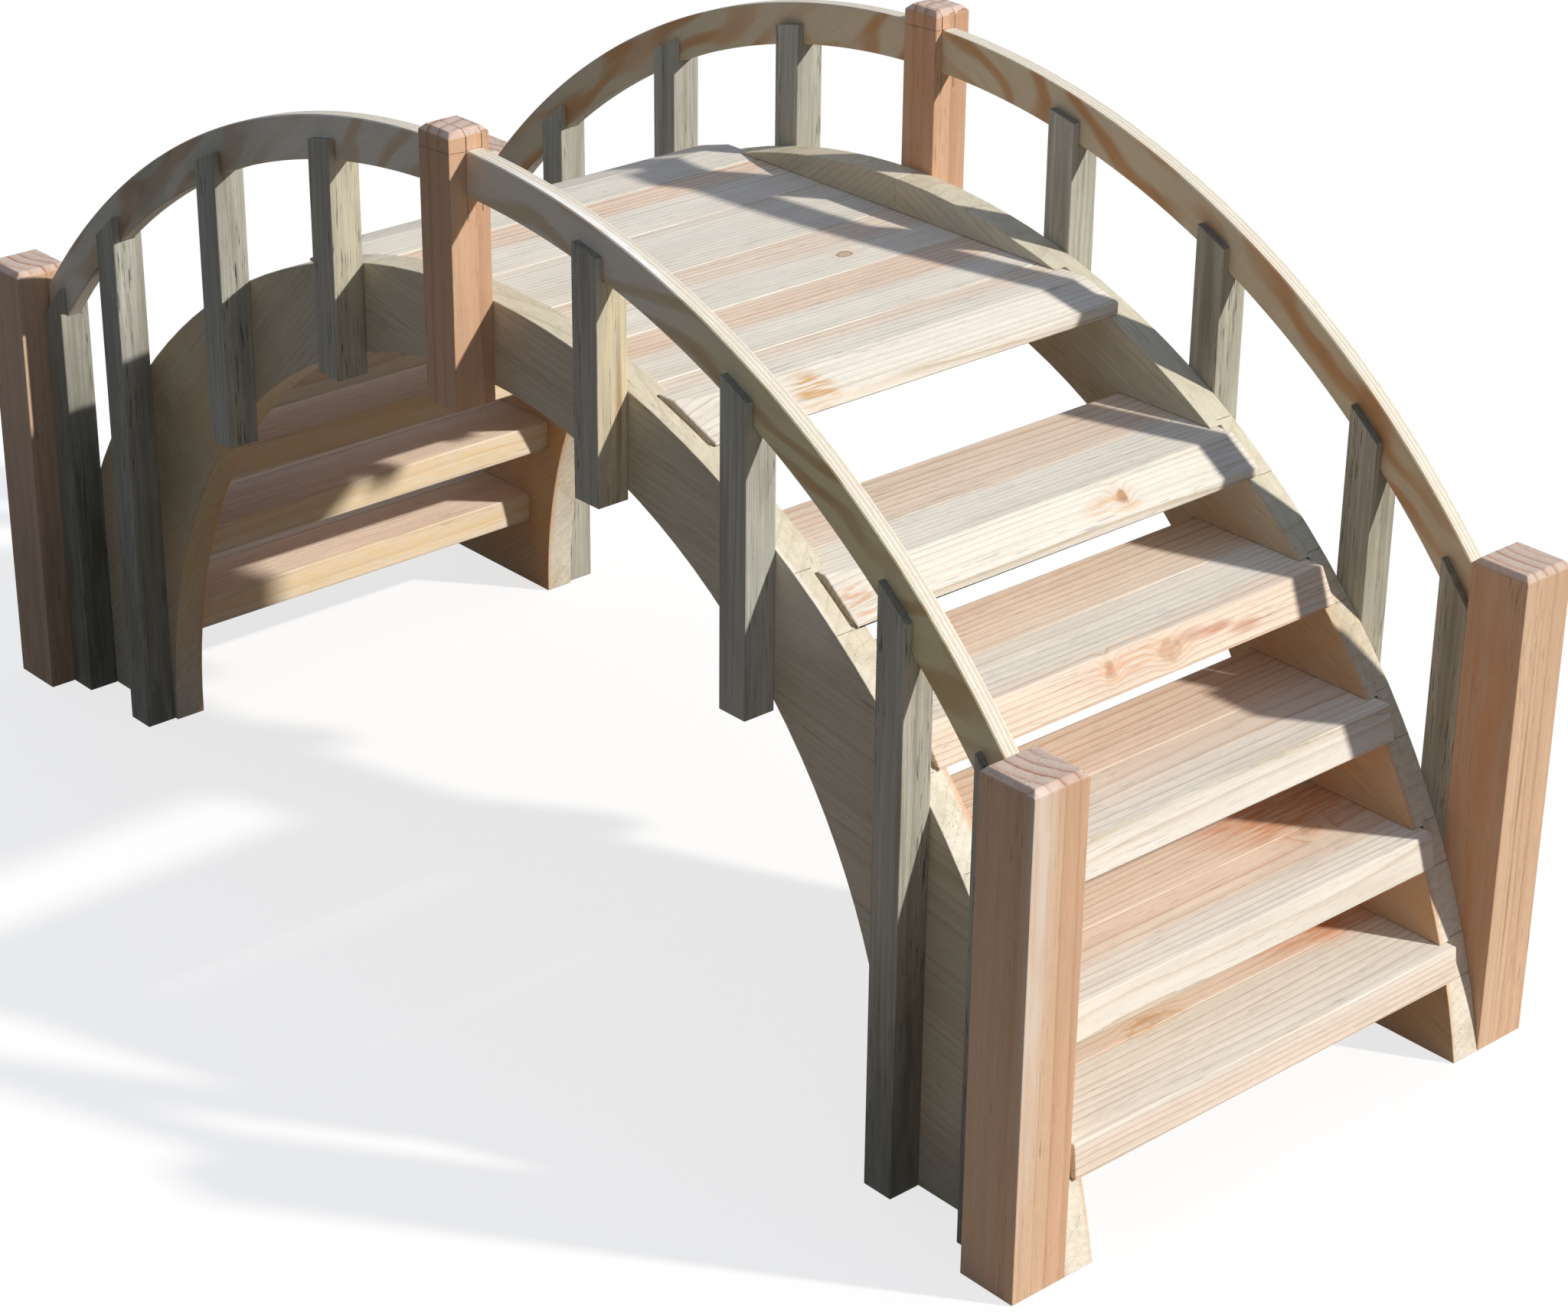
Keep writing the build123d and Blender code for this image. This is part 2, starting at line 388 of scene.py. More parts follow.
def close_material(g, colour, rough, height, relief):
    """Ends a wood material: dull, with a little relief from its fibres."""
    inputs = {"Strength": relief, "Distance": relief_depth, "Height": height}
    bump = g.add("ShaderNodeBump", inputs).outputs[0]
    inputs = {"Base Color": colour, "Roughness": rough, "Normal": bump}
    shader = g.add("ShaderNodeBsdfPrincipled", inputs)
    shader.inputs["Specular IOR Level"].default_value = wood_gloss
    g.add("ShaderNodeOutputMaterial", {0: shader.outputs[0]})


def softwood(name, sap, sap_late, heart, heart_late, pitch, wander, rings_show, fibre, blotch, checks, relief,
             end_tint, end_share, end_rings, spots, strands, knots=()):
    """A procedural softwood: rings, heartwood, fibres, cracks, and knots, stains, painted light and painted shade
    at given places.
    """
    material, g = new_material(name)
    grain = g.attribute("grain", "Vector")
    tone, heart_radius, heart_share = g.split(g.attribute("board", "Vector"))
    end = g.attribute("end", "Fac")
    place = g.object_place()
    knot_rims = [distance_to(g, place, centre, size) for centre, size, _, _ in knots]

    radius, late = rings_of(g, grain, pitch, wander, knot_rims)
    late = g.math("MULTIPLY", late, g.math("MULTIPLY_ADD", end, end_rings - rings_show, rings_show))
    rim = g.math("ADD", g.swing(grain, heart_edge, heart_edge_reach, 3.0), heart_radius)
    inside = g.step(g.math("SUBTRACT", radius, rim), heart_blend, -heart_blend)
    inside = g.math("MULTIPLY", inside, heart_share)
    early_colour = g.mix(inside, paint(*sap), paint(*heart))
    early_colour = g.mix(g.math("MULTIPLY", end, end_share), early_colour, paint(*end_tint))
    late_colour = g.mix(inside, paint(*sap_late), paint(*heart_late))
    colour = g.mix(late, early_colour, late_colour)

    warm = g.step(g.noise(grain, warm_zones, 2.0), 0.52, 0.74, 0.0, blotch)
    level, cracks, threads = wear_of(g, grain, tone, fibre, blotch, checks)
    colour = g.scaled(g.mix(warm, colour, late_colour), level)
    colour = with_knots(g, colour, place, knots, knot_rims)
    colour = with_stains_and_painted_light(g, colour, place, spots, strands)
    height = g.math("MULTIPLY_ADD", cracks, -1.2, threads)
    close_material(g, colour, g.math("MULTIPLY_ADD", threads, 0.22, 0.58), height, relief)
    print(name, "has", len(g.tree.nodes), "nodes")
    return material


# %% [markdown]
# ## Four woods
# Deck and treads are cream boards with tan and pink heartwood. Posts are orange-pink, from a fast-grown log whose
# rings stand more than a centimetre apart. Balusters are grey-green from treatment, with fine drying cracks, and
# the arches a pale greenish beige. All four are the same function with other colours and ring widths, so one
# change of the grain serves them all. Knots and stains stand at their own places on the bridge, and so do patches
# of painted warm bounce light and painted shade.

# %% Knots, stains and painted light
# place and size in millimetres, strength of the core and of the ring round it
tread_knots = [
    ((75, 130, 697), (8, 11, 30), 0.45, 0.65),
    ((530, 94, 575), (9, 10, 14), 0.75, 0.0),
    ((652, -40, 470), (14, 9, 10), 0.60, 0.0),
    ((656, 42, 466), (12, 17, 13), 0.42, 0.12),
    ((727, 188, 240), (10, 18, 20), 0.50, 0.0),
    ((750, -63, 126), (11, 26, 12), 0.30, 0.0),
]
# place and size in millimetres, colour and strength of stains and of painted warm bounce light, and how streaky
# they are
tread_spots = [
    ((325, -138, 688), (44, 36, 24), (208, 158, 92), 0.85, 1.0),
    ((652, 10, 468), (22, 130, 16), (224, 166, 128), 0.55, 1.0),
    ((654, 74, 471), (16, 34, 7), (180, 118, 90), 0.70, 0.4),
    ((655, 112, 469), (16, 34, 7), (184, 122, 94), 0.70, 0.4),
    ((657, 150, 460), (16, 32, 8), (188, 128, 100), 0.60, 0.4),
    ((536, 80, 572), (20, 60, 18), (216, 164, 106), 0.50, 1.0),
    ((756, -80, 126), (16, 70, 16), (206, 152, 102), 0.60, 1.0),
    ((528, -262, 566), (30, 26, 24), (206, 142, 84), 0.60, 1.0),
    # painted warm bounce light in the shade at the far ends of the rear boards of the two lowest front treads
    ((675, 190, 242), (75, 150, 14), (212, 140, 92), 0.80, 0.6),
    ((715, 205, 127), (75, 150, 14), (212, 134, 84), 0.85, 0.6),
]
# the rear edges of the back treads are yellower than their tops
for x, z in ((-671, 108), (-629, 223), (-564, 344)):
    tread_spots.append(((x, 0, z), (14, 520, 30), (242, 208, 146), 0.62, 0.35))
post_spots = [
    ((880, -368, 520), (8, 28, 540), (232, 221, 210), 0.70, 0.45),
    ((880, 330, 300), (5, 3, 300), (132, 86, 62), 0.55, 0.55),
    ((880, 352, 260), (5, 2, 260), (132, 86, 62), 0.50, 0.55),
    # painted warm bounce light on the shaded inner faces of the front right post and of the right middle post
    ((840, 300, 280), (60, 30, 420), (216, 148, 100), 0.60, 0.55),
    ((0, 300, 790), (40, 24, 220), (216, 148, 100), 0.50, 0.55),
    # painted shade: the back left post grows darker and browner towards the ground
    ((-845, -341, -60), (90, 90, 600), (112, 84, 70), 0.60, 0.30),
]
# a warm face and a resin streak, a pale face, and at either end feet that darken towards the ground, partly damp
# and partly painted shade
baluster_spots = [
    ((239, -322, 700), (5, 36, 190), (232, 217, 180), 0.95, 0.45),
    ((239, -317, 690), (5, 5, 110), (158, 112, 68), 0.70, 0.45),
    ((-201, -322, 760), (5, 36, 170), (216, 208, 182), 0.75, 0.45),
    # painted shade near the ground, with some damp, on the back left and front left balusters
    ((-725, -325, 0), (190, 70, 690), (84, 84, 70), 0.85, 0.30),
    ((725, -325, 0), (190, 70, 430), (84, 84, 70), 0.75, 0.30),
]
# the inner faces are warmer than the outer ones from painted warm bounce light, and the left arch changes along
# its length
arch_spots = [
    ((x, y, 240), (420, 9, 480), (224, 166, 110), 0.62, 0.3) for x in (-700, 700) for y in (-268, 268)
]
arch_spots += [
    # painted warm bounce light under and beside the back end of the left arch
    ((-560, -287, 330), (360, 60, 440), (222, 182, 120), 0.50, 0.4),
    # painted shade: the near face darker and greyer near the ground at the front foot
    ((800, -306, 0), (120, 12, 150), (120, 112, 94), 0.6, 0.3),
    ((470, -306, 570), (120, 8, 95), (242, 236, 224), 0.75, 0.2),
    # painted shade on the near face of the back end of the left arch
    ((-640, -306, 370), (140, 8, 160), (128, 122, 98), 0.55, 0.35),
]
print(len(tread_knots), "knots and", len(tread_spots + post_spots + baluster_spots + arch_spots), "stains")

# %% Make the four woods
woods = {
    "tread_wood": softwood(
        "tread_wood", sap=(234, 228, 217), sap_late=(194, 178, 153),
        heart=(233, 213, 193), heart_late=(198, 153, 122),
        pitch=0.0066, wander=0.024, rings_show=0.76, fibre=0.25, blotch=0.25, checks=0.32, relief=0.40,
        end_tint=(204, 182, 152), end_share=0.5, end_rings=1.0,
        spots=tread_spots, strands=(230.0, 22.0, 230.0), knots=tread_knots,
    ),
    "post_wood": softwood(
        "post_wood", sap=(222, 191, 161), sap_late=(190, 146, 114),
        heart=(216, 176, 144), heart_late=(150, 98, 72),
        pitch=0.0150, wander=0.012, rings_show=0.36, fibre=0.27, blotch=0.16, checks=0.45, relief=0.45,
        end_tint=(212, 196, 188), end_share=0.75, end_rings=1.0,
        spots=post_spots, strands=(80.0, 80.0, 9.0),
    ),
    "baluster_wood": softwood(
        "baluster_wood", sap=(186, 187, 177), sap_late=(140, 135, 120),
        heart=(194, 182, 154), heart_late=(138, 120, 94),
        pitch=0.0075, wander=0.034, rings_show=0.46, fibre=0.78, blotch=0.66, checks=0.80, relief=0.90,
        end_tint=(104, 102, 94), end_share=0.75, end_rings=0.6,
        spots=baluster_spots, strands=(60.0, 90.0, 9.0),
    ),
    "stringer_wood": softwood(
        "stringer_wood", sap=(211, 204, 183), sap_late=(178, 165, 139),
        heart=(214, 192, 158), heart_late=(180, 150, 114),
        pitch=0.0080, wander=0.045, rings_show=0.50, fibre=0.38, blotch=0.34, checks=0.34, relief=0.45,
        end_tint=(238, 233, 221), end_share=0.65, end_rings=0.25,
        spots=arch_spots, strands=(20.0, 60.0, 20.0),
    ),
}

# %% [markdown]
# ## Boards from the CAD solids
# Each CAD piece has the right shape, but its edges are razor sharp and a tread of two glued boards is one block.
# A board here is a merged copy of the CAD mesh, sawn where the joint is, with a Bevel modifier that takes the
# sharpness off. Geometry Nodes then lay the grain: the tree below turns each point's place into log coordinates.

# %% A Geometry Nodes tree that lays the grain
end_face_from, end_face_full = 0.35, 0.85


def new_tree(name, inputs):
    """An empty Geometry Nodes tree with a geometry input and these named inputs."""
    tree = bpy.data.node_groups.new(name, "GeometryNodeTree")
    tree.interface.new_socket("Geometry", in_out="INPUT", socket_type="NodeSocketGeometry")
    for label, kind in inputs.items():
        tree.interface.new_socket(label, in_out="INPUT", socket_type="NodeSocket" + kind)
    tree.interface.new_socket("Geometry", in_out="OUTPUT", socket_type="NodeSocketGeometry")
    g = Graph(tree)
    return tree, g, g.add("NodeGroupInput").outputs


def end_tree(g, geometry, material):
    """Ends a tree with real meshes in place of instances, and their material."""
    geometry = g.shape("RealizeInstances", {0: geometry})
    geometry = g.shape("SetMaterial", {"Geometry": geometry, "Material": material})
    g.add("NodeGroupOutput", {0: geometry})
    print(g.tree.name, "has", len(g.tree.nodes), "nodes")


def store(g, geometry, name, kind, domain, value):
    """Keeps a value on the mesh under a name that a material can read."""
    inputs = {"Geometry": geometry, "Name": name}
    node = g.add("GeometryNodeStoreNamedAttribute", inputs, data_type=kind, domain=domain)
    g.put(next(socket for socket in node.inputs if socket.name == "Value" and socket.enabled), value)
    return node.outputs[0]


def grain_tree():
    """Stores a board's log coordinates, tone and end faces, and sets its wood."""
    inputs = {"Along": "Vector", "Across": "Vector", "Pith": "Vector", "Start": "Float", "Tone": "Float"}
    inputs.update({"Heart": "Float", "Warm": "Float", "Wood": "Material"})
    tree, g, given = new_tree("lay_grain", inputs)
    offset = g.vector("SUBTRACT", g.shape("InputPosition", {}), given["Pith"])
    third = g.vector("CROSS_PRODUCT", given["Along"], given["Across"])
    log = g.gather(
        g.math("ADD", g.vector("DOT_PRODUCT", offset, given["Along"]), given["Start"]),
        g.vector("DOT_PRODUCT", offset, given["Across"]),
        g.vector("DOT_PRODUCT", offset, third),
    )
    board = g.gather(given["Tone"], given["Heart"], given["Warm"])
    facing = g.vector("DOT_PRODUCT", g.shape("InputNormal", {}), given["Along"])
    ends = g.step(g.math("ABSOLUTE", facing), end_face_from, end_face_full)
    geometry = store(g, given["Geometry"], "grain", "FLOAT_VECTOR", "POINT", log)
    geometry = store(g, geometry, "board", "FLOAT_VECTOR", "POINT", board)
    geometry = store(g, geometry, "end", "FLOAT", "FACE", ends)
    end_tree(g, geometry, given["Wood"])
    return tree


lay_grain = grain_tree()

# %% Saw a shell
def shell_of(node, merge=1e-5):
    """A closed copy of a CAD node's mesh, whose flat faces are whole again."""
    shell = bmesh.new()
    shell.from_mesh(nodes[node].data)
    bmesh.ops.remove_doubles(shell, verts=shell.verts, dist=merge)
    flat = math.radians(0.5)
    bmesh.ops.dissolve_limit(shell, angle_limit=flat, verts=shell.verts, edges=shell.edges)
    return shell


def saw(shell, point, normal):
    """The two parts of a shell cut by a plane, each closed again: below the plane first."""
    parts = []
    for upper in (False, True):
        part = shell.copy()
        everything = part.verts[:] + part.edges[:] + part.faces[:]
        cut = bmesh.ops.bisect_plane(
            part, geom=everything, plane_co=point, plane_no=normal, clear_outer=not upper, clear_inner=upper
        )
        rim = [item for item in cut["geom_cut"] if isinstance(item, bmesh.types.BMEdge)]
        bmesh.ops.holes_fill(part, edges=rim)
        bmesh.ops.recalc_face_normals(part, faces=part.faces)
        parts.append(part)
    shell.free()
    return parts


def planed(shell, *points):
    """What is left of a shell below the plane through three points."""
    first, second, third = (Vector(point) for point in points)
    normal = (second - first).cross(third - first)
    below, above = saw(shell, first, normal if normal.z > 0 else -normal)
    above.free()
    return below


print("saw ready")

# %% Ease and finish a piece
dice = random.Random(7)
made = []
longest_log = 40.0
bevel_from = math.radians(25)
sharp_from = math.radians(8)


def grown(mesh, tree, values, ease=None):
    """What a tree makes of a mesh with these inputs, as a plain mesh. Edges are eased before, where asked."""
    worker = bpy.data.objects.new("worker", mesh)
    scene.collection.objects.link(worker)
    if ease:
        bevel = worker.modifiers.new("ease", "BEVEL")
        bevel.width = ease
        bevel.segments = 2
        bevel.limit_method = "ANGLE"
        bevel.angle_limit = bevel_from
        bevel.use_clamp_overlap = False
    modifier = worker.modifiers.new("tree", "NODES")
    modifier.node_group = tree
    for item in tree.interface.items_tree:
        if item.in_out == "INPUT" and item.name in values:
            modifier[item.identifier] = values[item.name]
    bpy.context.view_layer.update()
    result = bpy.data.meshes.new_from_object(worker.evaluated_get(bpy.context.evaluated_depsgraph_get()))
    bpy.data.objects.remove(worker)
    bpy.data.meshes.remove(mesh)
    return result


def board_mesh(shell, wood, along, across, pith, tone, heart, warm, ease):
    """One board with eased edges and its grain, from a place of its own along the log."""
    mesh = bpy.data.meshes.new("board")
    shell.to_mesh(mesh)
    shell.free()
    values = {"Along": along, "Across": across, "Pith": pith, "Start": dice.uniform(0, longest_log)}
    values.update({"Tone": tone, "Heart": heart, "Warm": warm, "Wood": woods[wood]})
    return grown(mesh, lay_grain, values, ease)


def finish_piece(name, meshes, wood, *replaced):
    """Joins boards to one piece, rides it on the bridge and lets it stand for the CAD nodes."""
    parts = [bpy.data.objects.new(name, mesh) for mesh in meshes]
    for part in parts:
        scene.collection.objects.link(part)
    piece = parts[0]
    if len(parts) > 1:
        chosen = {"selected_objects": parts, "selected_editable_objects": parts}
        with bpy.context.temp_override(object=piece, active_object=piece, **chosen):
            bpy.ops.object.join()
    piece.data.shade_smooth()
    piece.data.set_sharp_from_angle(angle=sharp_from)
    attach(piece, "root")
    if replaced:
        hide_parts(*replaced)
    made.append(piece)
    return piece


print("finishing ready")

# %% [markdown]
# ## Deck and treads
# The deck is six boards edge to edge, and every tread is two boards glued along a joint that shows as a fine
# line. Their grain runs across the bridge. The pith of each log lies outside the board, on the side where the
# photograph shows the pink heartwood, so cream and pink zones follow the rings as they do in a real log.
# The near ends of three pairs of noses were planed down to the arch, which is a plane through three points.

# %% Where the pith lies, and how noses are planed
ALONG_X = (1.0, 0.0, 0.0)
ALONG_Y = (0.0, 1.0, 0.0)
ALONG_Z = (0.0, 0.0, 1.0)

arch_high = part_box("left_stringer")[1]
arch_radius = (arch_high.x**2 + arch_high.z**2) / (2 * arch_high.z)
arch_centre = arch_high.z - arch_radius


def pith_near(low, high, lean, depth):
    """A pith below a board: lean -1 is under its back edge, 1 under its front edge, 3 well outside."""
    middle = (low + high) / 2
    half = (high.x - low.x) / 2
    return (middle.x + lean * half, 0.0, middle.z - depth)


def arch_height(x):
    """Height of the arches' top curve at a place along the bridge."""
    return arch_centre + math.sqrt(arch_radius**2 - x**2)


def nose_cut(low, high, end, flat, run, proud, reach):
    """Three points of the plane that takes the near end of a nose down to a little above the arch."""
    nose = high.x if end > 0 else low.x
    back = nose - end * run
    tip, top = arch_height(nose) + proud[0], arch_height(back) + proud[1]
    rise = max(low.z + flat - tip, high.z - top)
    return (nose, low.y, tip), (back, low.y, top), (nose, low.y + reach, tip + rise)


print("arch radius", round(arch_radius, 3), "m about a centre at", round(arch_centre, 3), "m")

# %% Deck boards
# lean and depth of the pith, radius of the heartwood, its share, and the tone
deck_logs = {
    "deck_back_board": (-2.0, 0.05, 0.085, 0.5, 0.34),
    "deck_inner_board_1": (-1.9, 0.05, 0.118, 1.0, 0.44),
    "deck_inner_board_2": (-2.6, 0.06, 0.130, 0.3, 0.38),
    "deck_inner_board_3": (-2.0, 0.05, 0.125, 0.6, 0.56),
    "deck_inner_board_4": (-1.8, 0.05, 0.122, 1.0, 0.52),
    "deck_front_board": (-1.9, 0.05, 0.100, 0.6, 0.64),
}
# height of the flat, run of the slope, how proud the planed end is left at either side, and its reach
deck_nose = (0.014, 0.052, (0.0045, 0.0050), 0.075)
for name, (lean, depth, heart, warm, tone) in deck_logs.items():
    low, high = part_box(name)
    pith = pith_near(low, high, lean, depth)
    shell = shell_of(name)
    if "inner" not in name:
        shell = planed(shell, *nose_cut(low, high, 1 if "front" in name else -1, *deck_nose))
    mesh = board_mesh(shell, "tread_wood", ALONG_Y, ALONG_X, pith, tone, heart, warm, ease=0.0018)
    finish_piece(name + "_plank", [mesh], "tread_wood", name)
print(len(made), "deck boards")

# %% Treads of two glued boards
# lean and depth of the pith, and radius of the heartwood, for the rear boards of either end
rear_logs = {"front": (-1.4, 0.06, 0.15), "back": (0.6, -0.06, 0.158)}
rear_board_width = 0.089
# one value for each tread, lowest first: share of heartwood and darker tone of the rear boards
rear_warmth = (0.85, 0.80, 1.0, 0.75, 0.85)
rear_darkness = (0.06, -0.04, 0.06, 0.06, 0.14)
# lean and depth of the pith, radius of the heartwood and its share for the nosed boards
nosed_logs = (
    (1.30, 0.055, 0.070, 0.5),
    (-0.05, 0.050, 0.080, 1.0),
    (-0.05, 0.060, 0.095, 0.7),
    (1.15, 0.060, 0.095, 0.8),
    (2.40, 0.050, 0.110, 0.4),
)
nose_cuts = {4: (0.0114, 0.038, (0.0045, 0.0055), 0.065), 3: (0.0019, 0.019, (0.0055, 0.0110), 0.050)}
tread_tones = {"front": (0.60, 0.58, 0.44, 0.52, 0.52), "back": (0.85, 0.90, 0.85, 0.85, 0.80)}
tread_count = 5


def tread_boards(name, end, index, logs, tones):
    """The rear board and the nosed board of one tread."""
    low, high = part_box(name)
    joint = low.x + rear_board_width if end > 0 else high.x - rear_board_width
    shell = shell_of(name)
    if index in nose_cuts:
        shell = planed(shell, *nose_cut(low, high, end, *nose_cuts[index]))
    meshes = []
    for part, (lean, depth, heart, warm), tone in zip(saw(shell, (joint, 0, 0), (end, 0, 0)), logs, tones):
        pith = pith_near(low, high, lean * end * dice.uniform(0.95, 1.05), depth)
        meshes.append(board_mesh(part, "tread_wood", ALONG_Y, ALONG_X, pith, tone, heart, warm, ease=0.0015))
    return meshes


for end_name, end in (("front", 1), ("back", -1)):
    for index in range(tread_count):
        name = f"{end_name}_tread_{index + 1}"
        logs = (rear_logs[end_name] + (rear_warmth[index],), nosed_logs[index])
        tone = tread_tones[end_name][index]
        meshes = tread_boards(name, end, index, logs, (tone - rear_darkness[index], tone))
        finish_piece(name + "_boards", meshes, "tread_wood", name)
print(len(made), "pieces after the treads")

# %% [markdown]
# ## Arches
# Each arch is glued up from two planks and then sawn to the curve, so the grain runs straight while the arch
# bends away from it. A seam shows on the near arch behind the middle post, and on the far one at the crown. The
# copy of the CAD mesh has points a fraction of a millimetre apart where housings meet the curve. They are merged
# first, so that the bevel has room.

# %% Arches from two planks
seams = {"left": -0.201, "right": 0.007}
plank_angles = {"left": (46, -9), "right": (38, -24)}
plank_warmth = {"left": 0.1, "right": 0.4}
plank_tones = (0.35, 0.60)
plank_heart = 0.5
pith_height = 0.30
for side in ("left", "right"):
    name = side + "_stringer"
    low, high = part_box(name)
    parts = saw(shell_of(name, merge=0.002), (seams[side], 0, 0), (1, 0, 0))
    meshes = []
    for part, angle, tone in zip(parts, plank_angles[side], plank_tones):
        turn = math.radians(angle)
        along = (math.cos(turn), 0.0, math.sin(turn))
        across = (-math.sin(turn), 0.0, math.cos(turn))
        pith_y = (low.y + high.y) / 2 + dice.uniform(0.05, 0.08)
        pith = (0.0, pith_y, pith_height + dice.uniform(-0.1, 0.1))
        warm = plank_warmth[side]
        meshes.append(board_mesh(part, "stringer_wood", along, across, pith, tone, plank_heart, warm, ease=0.0010))
    finish_piece(name + "_arch", meshes, "stringer_wood", name)
print(len(made), "pieces after the arches")

# %% [markdown]
# ## Posts, plugs and balusters
# Posts stand upright, so their grain does too, and the tops show the rings as arcs. The pith of a post lies just
# outside it, as in a post cut from the side of a log. Balusters are ripped from thinner stock.

# %% Posts and balusters
def upright(name, suffix, wood, turn, reach, heart, warm, tone, ease=0.0010):
    """A post or baluster whose pith lies off its middle, by this reach and at this angle from +X."""
    low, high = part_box(name)
    middle = (low + high) / 2
    pith = (middle.x + reach * math.cos(turn), middle.y + reach * math.sin(turn), 0.0)
    mesh = board_mesh(shell_of(name), wood, ALONG_Z, ALONG_X, pith, tone, heart, warm, ease)
    finish_piece(name + suffix, [mesh], wood, name)


middle_log = {"turn": 0.25, "reach": 0.085, "heart": 0.5, "warm": 0.9}
end_log = {"reach": 0.095, "heart": 0.11}
baluster_log = {"reach": 0.060, "heart": 0.2}
# tone and share of heartwood
end_posts = {
    "front_left": (0.48, 0.8), "front_right": (0.46, 0.4),
    "back_left": (0.30, 0.8), "back_right": (0.45, 0.6),
}
baluster_warmth = {
    "front_left": (0.15, 0.05, 0.20, 0.20), "back_left": (0.25, 0.10, 0.05, 0.10),
    "front_right": (0.25, 0.35, 0.40, 0.45), "back_right": (0.20, 0.15, 0.20, 0.30),
}
for side in ("left", "right"):
    post = side + "_middle_post"
    upright(post, "_timber", "post_wood", tone=0.60, ease=0.0008, **middle_log)
    upright(post + "_plug", "_block", "post_wood", tone=0.66, ease=0.0004, **middle_log)
    for end_name in ("front", "back"):
        corner = f"{end_name}_{side}"
        tone, warm = end_posts[corner]
        turn = dice.uniform(1.2, 1.9)
        upright(corner + "_post", "_timber", "post_wood", turn=turn, warm=warm, tone=tone, **end_log)
        for index, warm in enumerate(baluster_warmth[corner]):
            name = f"{corner}_baluster_{index + 1}"
            turn, tone = dice.uniform(0, math.tau), dice.uniform(0.20, 0.60)
            upright(name, "_timber", "baluster_wood", turn=turn, warm=warm, tone=tone, **baluster_log)
print(len(made), "pieces after the posts")

# %% [markdown]
# ## Plywood
# The handrails are sawn from a sheet of plywood. Their broad sides show a peeled veneer with brown wavy streaks,
# and their edges show the plies as lines along the rail. The attribute "sheet" holds the place on the sheet, and
# "edge" tells the sawn edges from the veneer, so one finish serves both.

# %% Veneer
# place and size in millimetres, all on the left rail
mossy_shaded_end = ((-560, -325, 720), (330, 30, 330))
sunned_end = ((600, -325, 640), (420, 30, 420))
torn_end = ((-778, -330, 470), (42, 20, 52))
bands_in_metre = 20.0
band_wander = 3.0
# unevenness, as patches in a metre along the sheet, through it and across it
band_sway = (6.0, 1.0, 12.0)
band_fray = (14.0, 1.0, 130.0)
figure_zones = (4.0, 1.0, 9.0)
veneer_stains = (9.0, 60.0, 40.0)
moss_and_shade_patches = (7.0, 30.0, 22.0)
torn_fibres = (60.0, 60.0, 160.0)


def veneer_of(g, sheet, threads, place):
    """Peeled veneer: pale ground and brown bands, browner on the right rail with painted warm bounce light in it,
    with aged ends on the left one, the back end mossy and darker as painted shade.
    """
    _, _, across = g.split(sheet)
    bands = g.math("MULTIPLY_ADD", across, bands_in_metre, g.swing(sheet, band_sway, band_wander, 1.0))
    wave = g.math("SINE", g.math("MULTIPLY", bands, math.tau))
    wave = g.math("ADD", wave, g.swing(sheet, band_fray, 1.1, 3.0))
    patchy = g.step(g.noise(sheet, figure_zones, 2.0), 0.34, 0.56, 0.30, 0.90)
    figure = g.math("MULTIPLY", g.step(wave, -0.40, 0.95), patchy)

    _, place_y, _ = g.split(place)
    # the right rail's tones are browner and more orange, partly its own figure and partly painted warm bounce
    # light
    far = g.step(place_y, -0.1, 0.1)
    ground_tone = g.mix(far, paint(247, 239, 221), paint(224, 207, 176))
    figure_tone = g.mix(far, paint(224, 203, 168), paint(204, 151, 100))
    stain_tone = g.mix(far, paint(210, 200, 173), paint(194, 180, 146))
    veneer = g.mix(figure, ground_tone, figure_tone)
    sunned = g.step(distance_to(g, place, *sunned_end), 1.0, 0.5, 0.0, 0.85)
    veneer = g.mix(sunned, veneer, g.mix(figure, paint(247, 234, 180), paint(210, 172, 116)))
    stains = g.noise(sheet, veneer_stains, 4.0, 0.65)
    veneer = g.mix(g.step(stains, 0.50, 0.72, 0.0, 0.5), veneer, stain_tone)
    veneer = g.scaled(veneer, g.math("MULTIPLY", g.about_one(threads, 0.34), g.about_one(stains, 0.40)))

    # the back end of the left rail is mossy, and darker there as painted shade as well
    moss_and_shade = g.step(g.noise(sheet, moss_and_shade_patches, 4.0, 0.65), 0.30, 0.70, 0.30, 0.95)
    moss_and_shade = g.math("MULTIPLY", g.step(distance_to(g, place, *mossy_shaded_end), 1.0, 0.5), moss_and_shade)
    veneer = g.mix(moss_and_shade, veneer, g.mix(figure, paint(186, 188, 164), paint(164, 132, 108)))
    torn = g.step(g.noise(place, torn_fibres, 3.0), 0.42, 0.56, 0.0, 0.7)
    torn = g.math("MULTIPLY", g.step(distance_to(g, place, *torn_end), 1.0, 0.6), torn)
    return g.mix(torn, veneer, paint(222, 218, 214))


print("veneer bands are", round(1000 / bands_in_metre), "mm apart")

# %% Sawn edges, and both as one finish
ply_thickness = 0.0027
raw_edge = ((230, -334, 873), (190, 12, 80))
raw_fibres = (40.0, 320.0, 40.0)
ply_sway = (9.0, 9.0, 9.0)
glue_breaks = (22.0, 22.0, 22.0)
veneer_threads = (16.0, 800.0, 800.0)
edge_pores = (140.0, 600.0, 140.0)


